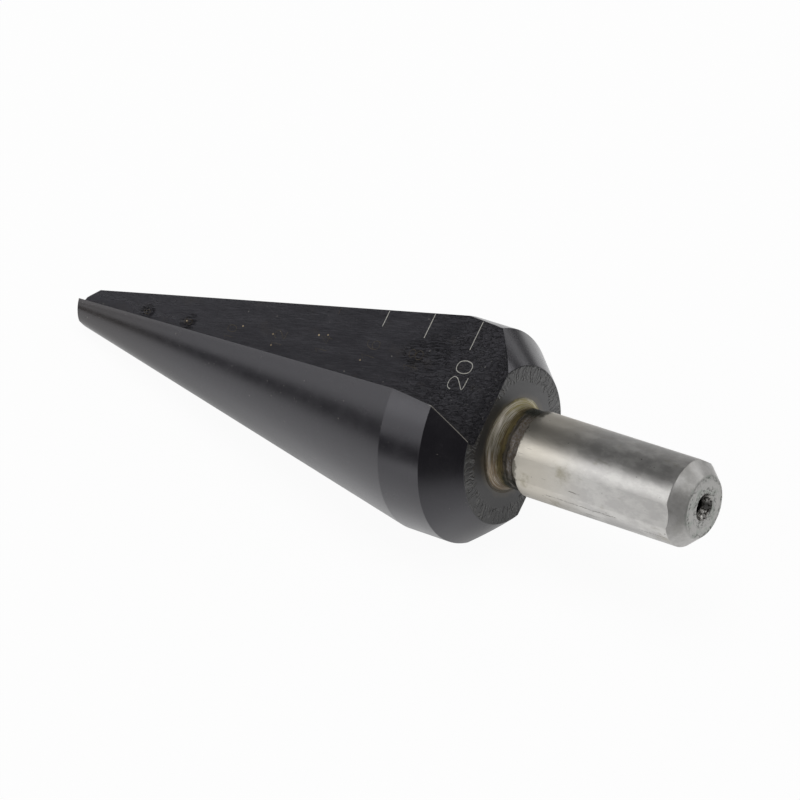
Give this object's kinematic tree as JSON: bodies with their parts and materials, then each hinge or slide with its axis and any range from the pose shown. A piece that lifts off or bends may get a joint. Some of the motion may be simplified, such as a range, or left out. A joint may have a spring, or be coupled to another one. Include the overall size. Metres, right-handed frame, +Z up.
{
  "type": "cone drill",
  "caption": "Smooth conical drill with straight flutes and a short cylindrical shank, for cutting round holes of any diameter on its scale in sheet metal and thin tube.",
  "frame": {"origin": "middle of the bounding box's bottom face, on the surface the tool lies on", "axes": "+X along the lying tool towards the end of its shank, with the point towards -X; +Z up. The tool lies on the mouth of one flute, so its axis rises 8.7 degrees towards the shank"},
  "size_m": [0.0708, 0.02, 0.0173],
  "materials": {
    "tool_steel": "satin black oxide on the cutting head, bright ground shank"
  },
  "bodies": {
    "root": {"cone_drill": "tool_steel"}
  },
  "joints": []
}
